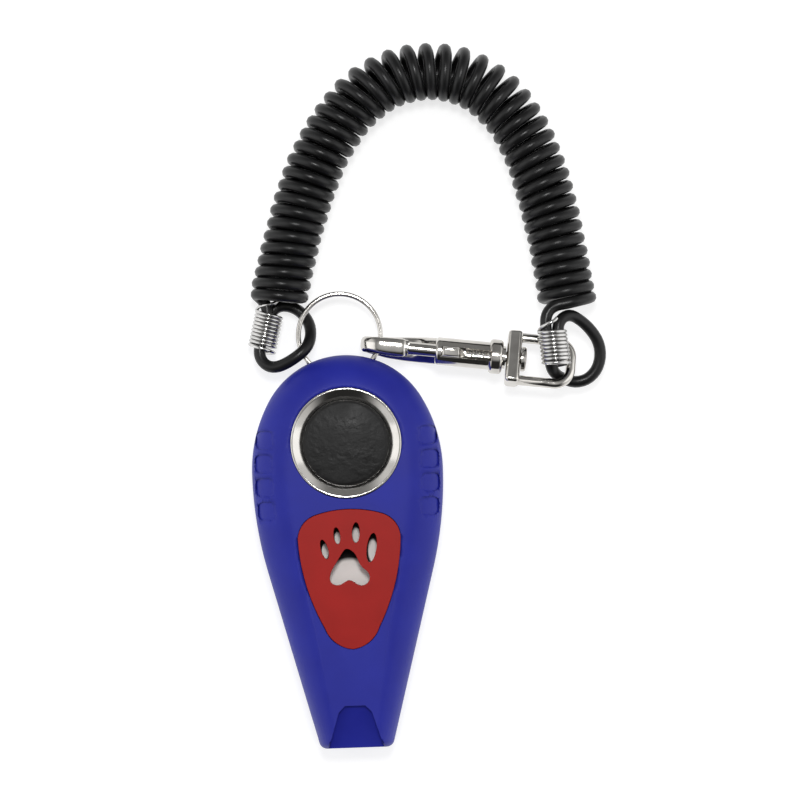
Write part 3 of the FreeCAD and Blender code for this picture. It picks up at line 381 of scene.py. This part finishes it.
def makeRing():
    # a flat wire goes twice round, climbing to the second turn just before it passes its own start
    angle = np.linspace(0, 4 * np.pi - ring["stepTurn"] - ring["endGap"], ring["steps"])
    climb = np.clip((angle - (2 * np.pi - ring["stepTurn"])) / ring["stepTurn"], 0, 1)
    high = ring["low"] + ring["step"] * climb ** 2 * (3 - 2 * climb)
    facing = angle + ring["start"]
    outward = np.stack([np.cos(facing), np.sin(facing), np.zeros_like(facing)], -1)
    spin = np.linspace(0, 2 * np.pi, ring["sides"], endpoint=False) + np.pi / ring["sides"]
    bulge = squarer(np.cos(spin), ring["square"])
    lift = squarer(np.sin(spin), ring["square"])
    middle = ring["outer"] - ring["wide"] / 2
    points = outward[:, None] * (middle + bulge * ring["wide"] / 2)[None, :, None]
    points[..., 2] = high[:, None] + lift * ring["thick"] / 2
    points[..., :2] += np.array(ring["centre"])
    mesh = gridMesh("split_ring_turns", points[:, ::-1] * mm, closedV=True, capped=True)
    sharpEdges(mesh, ring["sharp"])
    newPiece("split_ring_turns", mesh, "lanyard", "polished_steel", ["split_ring"])


# rise, bend and tip are places along and above the snap's own line
snap = {"nose": (3.8, 45.4, 8.6), "turn": -7.6, "noseRadius": 3.3, "noseSteps": 40, "halfHigh": 1.0,
        "rise": (18.0, -1.9), "bend": (12.9, -6.6), "bendReach": 2.6, "bendSteps": 24, "tip": 10.4,
        "tipSteps": 5, "tipThin": 0.25, "tipNarrow": 0.5, "square": 0.8, "smoothing": 9, "steps": 140,
        "sides": 32, "sharp": 50}
# distance along the arm as a share of its length, then half width, half height and sideways bow
armShape = [(0.0, 2.95, 1.3, 0.0), (0.15, 2.9, 1.15, 0.05), (0.3, 2.65, 1.1, 0.2), (0.43, 2.3, 1.05, 0.28),
            (0.52, 1.9, 1.02, 0.15), (0.62, 1.75, 1.02, 0.0), (0.76, 1.75, 1.05, 0.0),
            (0.86, 2.0, 1.15, 0.06), (0.96, 2.05, 1.2, 0.06), (1.0, 1.8, 1.0, 0.0)]


def hookToWorld(points):
    # from the snap's own frame, nose at zero and axis along X, to its place on the ring
    turn = math.radians(snap["turn"])
    spun = np.array(points, float)
    x, y = spun[..., 0].copy(), spun[..., 1].copy()
    spun[..., 0] = x * math.cos(turn) - y * math.sin(turn)
    spun[..., 1] = x * math.sin(turn) + y * math.cos(turn)
    return (spun + np.array(snap["nose"])) * mm


def makeArm():
    # a flattened bar along the hook's line: down from the barrel, back to the nose, round it and over
    nose = snap["noseRadius"]
    turnX = nose + snap["halfHigh"]
    part = np.linspace(0, 1, snap["bendSteps"])[:, None]
    rise, bend = np.array(snap["rise"]), np.array(snap["bend"])
    entry, leave = bend + unit(rise - bend) * snap["bendReach"], bend - np.array((snap["bendReach"], 0))
    curve = (1 - part) ** 2 * entry + 2 * part * (1 - part) * bend + part ** 2 * leave
    angle = np.linspace(0, np.pi, snap["noseSteps"])[:, None]
    around = np.hstack([turnX - nose * np.sin(angle), -nose - nose * np.cos(angle)])
    line = np.vstack([rise[None], curve, around, np.array([[snap["tip"], 0.0]])])
    run = np.concatenate([[0], np.cumsum(np.linalg.norm(np.diff(line, axis=0), axis=1))])
    share = np.linspace(0, 1, snap["steps"])
    spot = np.stack([np.interp(share * run[-1], run, line[:, k]) for k in range(2)], -1)
    along = unit(np.gradient(spot, axis=0))
    shape = np.array(armShape)
    wide, thick, bow = [averaged(np.interp(share, shape[:, 0], shape[:, k]), snap["smoothing"], mode="edge")
                        for k in (1, 2, 3)]
    toTip = np.clip((1 - share) * snap["steps"] / snap["tipSteps"], 0, 1)
    rounded = toTip * (2 - toTip)  # the tip rounds off like the end of an ellipse
    thick = thick * np.sqrt(rounded * (1 - snap["tipThin"]) + snap["tipThin"])
    wide = wide * np.sqrt(rounded * (1 - snap["tipNarrow"]) + snap["tipNarrow"])
    spin = np.linspace(0, 2 * np.pi, snap["sides"], endpoint=False)
    aside = squarer(np.cos(spin), snap["square"])
    over = squarer(np.sin(spin), snap["square"])
    normal = np.stack([-along[:, 1], along[:, 0]], -1)
    points = np.empty((snap["steps"], snap["sides"], 3))
    points[..., 0] = spot[:, :1] + over * thick[:, None] * normal[:, :1]
    points[..., 2] = spot[:, 1:] + over * thick[:, None] * normal[:, 1:]
    points[..., 1] = aside * wide[:, None] - bow[:, None]
    mesh = gridMesh("hook_arm", hookToWorld(points), closedV=True, capped=True)
    sharpEdges(mesh, snap["sharp"])
    newPiece("hook_arm", mesh, "hook", "nickel_plate", ["hook_body"])


makeDish()
makeButton()
makeRing()
makeArm()
print("hard pieces made")


def link(tree, source, target):
    tree.links.new(source, target)


def mathNode(tree, operation, first, second):
    node = tree.nodes.new("ShaderNodeMath")
    node.operation = operation
    link(tree, first, node.inputs[0])
    link(tree, second, node.inputs[1])
    return node.outputs["Value"]


def vectorNode(tree, operation, source, amount=None):
    node = tree.nodes.new("ShaderNodeVectorMath")
    node.operation = operation
    link(tree, source, node.inputs[0])
    if amount is not None:
        node.inputs[1].default_value = amount
    return node


def rangeNode(tree, source, low, high, first, last, kind="LINEAR"):
    node = tree.nodes.new("ShaderNodeMapRange")
    node.interpolation_type = kind
    for name, value in (("From Min", low), ("From Max", high), ("To Min", first), ("To Max", last)):
        node.inputs[name].default_value = value
    link(tree, source, node.inputs["Value"])
    return node.outputs["Result"]


mottleSpan = (0.3, 0.7)  # the part of the noise's range that the colours and roughness spread over


def grainGroup():
    # two sizes of noise on the object's own coordinates: a slow mottle and a fine height
    group = bpy.data.node_groups.new("surfaceGrain", "ShaderNodeTree")
    for name, value in (("Mottle Scale", 60.0), ("Grain Scale", 2500.0), ("Roughness Low", 0.4),
                        ("Roughness High", 0.5)):
        socket = group.interface.new_socket(name, in_out="INPUT", socket_type="NodeSocketFloat")
        socket.default_value = value
    group.interface.new_socket("Mottle", in_out="OUTPUT", socket_type="NodeSocketFloat")
    group.interface.new_socket("Height", in_out="OUTPUT", socket_type="NodeSocketFloat")
    group.interface.new_socket("Roughness", in_out="OUTPUT", socket_type="NodeSocketFloat")
    make = group.nodes.new
    inputs, outputs, where = make("NodeGroupInput"), make("NodeGroupOutput"), make("ShaderNodeTexCoord")
    slow, fine, spread = make("ShaderNodeTexNoise"), make("ShaderNodeTexNoise"), make("ShaderNodeMapRange")
    for noise, name, detail in ((slow, "Mottle Scale", 3.0), (fine, "Grain Scale", 2.0)):
        noise.inputs["Detail"].default_value = detail
        link(group, where.outputs["Object"], noise.inputs["Vector"])
        link(group, inputs.outputs[name], noise.inputs["Scale"])
    spread.inputs["From Min"].default_value, spread.inputs["From Max"].default_value = mottleSpan
    link(group, slow.outputs["Fac"], spread.inputs["Value"])
    link(group, inputs.outputs["Roughness Low"], spread.inputs["To Min"])
    link(group, inputs.outputs["Roughness High"], spread.inputs["To Max"])
    link(group, slow.outputs["Fac"], outputs.inputs["Mottle"])
    link(group, fine.outputs["Fac"], outputs.inputs["Height"])
    link(group, spread.outputs["Result"], outputs.inputs["Roughness"])
    return group


surfaceGrain = grainGroup()


def finish(name, dark, light, roughness, metallic=0.0, grain=1200, mottle=60, bump=0.1, depth=0.02,
           specular=0.5):
    # a shader whose colour drifts from dark to light over a fine bump; grain and mottle are noises' scales
    material = bpy.data.materials.new(name)
    material.use_nodes = True
    tree = material.node_tree
    shader = tree.nodes["Principled BSDF"]
    shader.inputs["Metallic"].default_value = metallic
    shader.inputs["Specular IOR Level"].default_value = specular
    texture = tree.nodes.new("ShaderNodeGroup")
    texture.node_tree = surfaceGrain
    texture.inputs["Mottle Scale"].default_value = mottle
    texture.inputs["Grain Scale"].default_value = grain
    texture.inputs["Roughness Low"].default_value = roughness[0]
    texture.inputs["Roughness High"].default_value = roughness[1]
    ramp = tree.nodes.new("ShaderNodeValToRGB")
    for stop, position, colour in zip(ramp.color_ramp.elements, mottleSpan, (dark, light)):
        stop.position, stop.color = position, (*colour, 1)
    bumps = tree.nodes.new("ShaderNodeBump")
    bumps.inputs["Strength"].default_value = bump
    bumps.inputs["Distance"].default_value = depth * mm
    link(tree, texture.outputs["Mottle"], ramp.inputs["Fac"])
    link(tree, ramp.outputs["Color"], shader.inputs["Base Color"])
    link(tree, texture.outputs["Roughness"], shader.inputs["Roughness"])
    link(tree, texture.outputs["Height"], bumps.inputs["Height"])
    link(tree, bumps.outputs["Normal"], shader.inputs["Normal"])
    return material


finishes = {
    "blue_plastic": finish("bluePlastic", (0.008, 0.012, 0.245), (0.012, 0.018, 0.290), (0.46, 0.54),
                           grain=1800, mottle=90, bump=0.25, depth=0.04, specular=0.27),
    "red_plastic": finish("redPlastic", (0.29, 0.006, 0.003), (0.335, 0.008, 0.005), (0.40, 0.48),
                          grain=1800, mottle=120, bump=0.1, depth=0.03, specular=0.2),
    "black_plastic": finish("blackPlastic", (0.004, 0.004, 0.004), (0.012, 0.012, 0.012), (0.40, 0.6),
                            grain=700, mottle=260, bump=1.0, depth=0.2, specular=0.26),
    "polished_steel": finish("polishedSteel", (0.52, 0.50, 0.47), (0.66, 0.64, 0.61), (0.12, 0.2), 1.0,
                             grain=700, mottle=150, bump=0.06),
    "spring_steel": finish("springSteel", (0.52, 0.52, 0.51), (0.68, 0.67, 0.66), (0.14, 0.24), 1.0,
                           grain=1200, mottle=300, bump=0.05),
    "nickel_plate": finish("nickelPlate", (0.52, 0.50, 0.47), (0.70, 0.68, 0.64), (0.08, 0.16), 1.0,
                           grain=500, mottle=200, bump=0.08, depth=0.03),
    "zinc_screws": finish("zincScrews", (0.50, 0.50, 0.50), (0.62, 0.62, 0.61), (0.25, 0.35), 1.0,
                          grain=900, mottle=300, bump=0.06),
    "cord_rubber": finish("cordRubber", (0.004, 0.004, 0.0042), (0.008, 0.008, 0.0084), (0.30, 0.38),
                          grain=1500, mottle=150, bump=0.1, depth=0.03, specular=0.3),
}

# where light through each hole of the paw is painted onto the reed below it, with painted shade round it:
# centre, half width and half length
paintedPawLight = [(-5.4, 0.3, 0.85, 1.9), (-2.6, 3.1, 0.8, 1.5), (1.45, 3.6, 0.95, 1.9), (5.0, 0.0, 1.2, 2.9),
            (-0.2, -5.5, 5.6, 4.4)]
# dark is the colour of the painted shade round the painted light; the two specular levels go with the painted
# shade and the painted light
reed = {"top": 11.1, "dark": (0.012, 0.008, 0.008), "softFrom": 0.75, "paintedShadeSpecular": 0.05, "paintedLightSpecular": 0.5}


def reedPaintedLightAndShade():
    # painted light and shade: bright inside an ellipse below each hole, where (x/a)2 + (y/b)2 is under one,
    # as if lit through the hole, and painted shade outside them
    material = finish("reedSteel", (0.93, 0.89, 0.85), (0.97, 0.94, 0.90), (0.35, 0.5), grain=1200,
                      mottle=300, bump=0.05)
    tree = material.node_tree
    shader, where = tree.nodes["Principled BSDF"], tree.nodes.new("ShaderNodeTexCoord")
    paintedLight = None
    for x, y, halfWide, halfLong in paintedPawLight:
        middle = (x * mm, y * mm, reed["top"] * mm)
        near = vectorNode(tree, "SUBTRACT", where.outputs["Object"], middle)
        shrink = (1 / (halfWide * mm), 1 / (halfLong * mm), 0)
        scaled = vectorNode(tree, "MULTIPLY", near.outputs["Vector"], shrink)
        far = vectorNode(tree, "LENGTH", scaled.outputs["Vector"])
        patch = rangeNode(tree, far.outputs["Value"], reed["softFrom"], 1.0, 1, 0, "SMOOTHSTEP")
        paintedLight = patch if paintedLight is None else mathNode(tree, "MAXIMUM", paintedLight, patch)
    # the mix paints the shade colour outside the ellipses and leaves the bright reed colour inside them
    shade = tree.nodes.new("ShaderNodeMix")
    shade.data_type = "RGBA"
    link(tree, paintedLight, shade.inputs["Factor"])
    shade.inputs["A"].default_value = (*reed["dark"], 1)
    link(tree, shader.inputs["Base Color"].links[0].from_socket, shade.inputs["B"])
    link(tree, shade.outputs["Result"], shader.inputs["Base Color"])
    # the reflection is also turned down in the painted shade and up in the painted light
    sheen = rangeNode(tree, paintedLight, 0, 1, reed["paintedShadeSpecular"], reed["paintedLightSpecular"])
    link(tree, sheen, shader.inputs["Specular IOR Level"])
    return material


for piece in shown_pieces():
    piece.data.materials.clear()
    piece.data.materials.append(finishes[piece.get("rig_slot", slotOf.get(piece.name))])
for node, thing in nodes.items():
    thing.data.materials.clear()
    thing.data.materials.append(finishes[slotOf[node]])
# the reed's material carries the painted light and shade below the paw's holes
copies["click_reed"].data.materials[0] = reedPaintedLightAndShade()
print("materials made")

# the sky's strength to each side; Start and Full bound where it fades in, on x squared and on z
sky = {"sides": 0.85, "sidesStart": 0.08, "sidesFull": 0.5, "front": 0.03, "behind": 0.25, "depthSpan": 0.6,
       "zenith": 0.5, "zenithStart": 0.8, "zenithFull": 0.99}
# lamps in watts, their sizes and places in metres
lamps = {"side": 0.85, "sideSize": 0.5, "sideTall": 1.6, "sideAway": 0.62, "sideUp": 0.02, "sideHigh": 0.36,
         "top": 1.9, "topSize": 0.12, "topPlace": (0.02, 0.20, 0.66)}
ground = {"half": 3000, "drop": 0.05, "tone": 0.4, "drift": 0.01, "glow": 0.72}


def makeFloor():
    steps = np.linspace(-ground["half"], ground["half"], 3) * mm
    xs, ys = np.meshgrid(steps, steps, indexing="ij")
    points = np.stack([xs, ys, np.full_like(xs, cadBox[0].z - ground["drop"] * mm)], -1)
    floor = bpy.data.objects.new("floor", gridMesh("floor", points))
    bpy.context.scene.collection.objects.link(floor)
    dark, light = [ground["tone"]] * 3, [ground["tone"] + ground["drift"]] * 3
    paper = finish("floorPaper", dark, light, (0.7, 0.8), grain=200, mottle=2, bump=0.0, specular=0.1)
    shader = paper.node_tree.nodes["Principled BSDF"]
    shader.inputs["Emission Color"].default_value = (1, 1, 1, 1)
    shader.inputs["Emission Strength"].default_value = ground["glow"]
    floor.data.materials.append(paper)


def makeLamp(name, place, size, power):
    data = bpy.data.lights.new(name, "AREA")
    data.shape = "RECTANGLE"
    data.size, data.size_y = size
    data.energy = power
    lamp = bpy.data.objects.new(name, data)
    lamp.location = place
    lamp.rotation_euler = (-Vector(place)).to_track_quat("-Z", "Y").to_euler()
    bpy.context.scene.collection.objects.link(lamp)


def makeSky():
    # bright to the left and right, dark in front (-Y), grey behind, and a softer patch overhead
    world = bpy.data.worlds.new("sky")
    world.use_nodes = True
    tree = world.node_tree
    where, split = tree.nodes.new("ShaderNodeTexCoord"), tree.nodes.new("ShaderNodeSeparateXYZ")
    link(tree, where.outputs["Generated"], split.inputs["Vector"])
    square = mathNode(tree, "MULTIPLY", split.outputs["X"], split.outputs["X"])
    sideways = rangeNode(tree, square, sky["sidesStart"], sky["sidesFull"], 0, 1, "SMOOTHSTEP")
    overhead = rangeNode(tree, split.outputs["Z"], sky["zenithStart"], sky["zenithFull"], 0, 1, "SMOOTHSTEP")
    span = sky["depthSpan"]
    strength = rangeNode(tree, split.outputs["Y"], -span, span, sky["front"], sky["behind"])
    for share, value in ((sideways, sky["sides"]), (overhead, sky["zenith"])):
        mix = tree.nodes.new("ShaderNodeMix")
        link(tree, share, mix.inputs["Factor"])
        link(tree, strength, mix.inputs["A"])
        mix.inputs["B"].default_value = value
        strength = mix.outputs["Result"]
    link(tree, strength, tree.nodes["Background"].inputs["Strength"])
    tree.nodes["Background"].inputs["Color"].default_value = (1, 1, 1, 1)
    bpy.context.scene.world = world


def makeLight():
    makeSky()
    wide, tall = lamps["sideSize"], lamps["sideSize"] * lamps["sideTall"]
    for side in (-1, 1):
        place = (side * lamps["sideAway"], lamps["sideUp"], lamps["sideHigh"])
        makeLamp("sideLamp", place, (wide, tall), lamps["side"])
    makeLamp("topLamp", lamps["topPlace"], (lamps["topSize"], lamps["topSize"]), lamps["top"])
    bpy.context.scene.view_settings.view_transform = "Standard"


makeFloor()
makeLight()

print("scene ready")
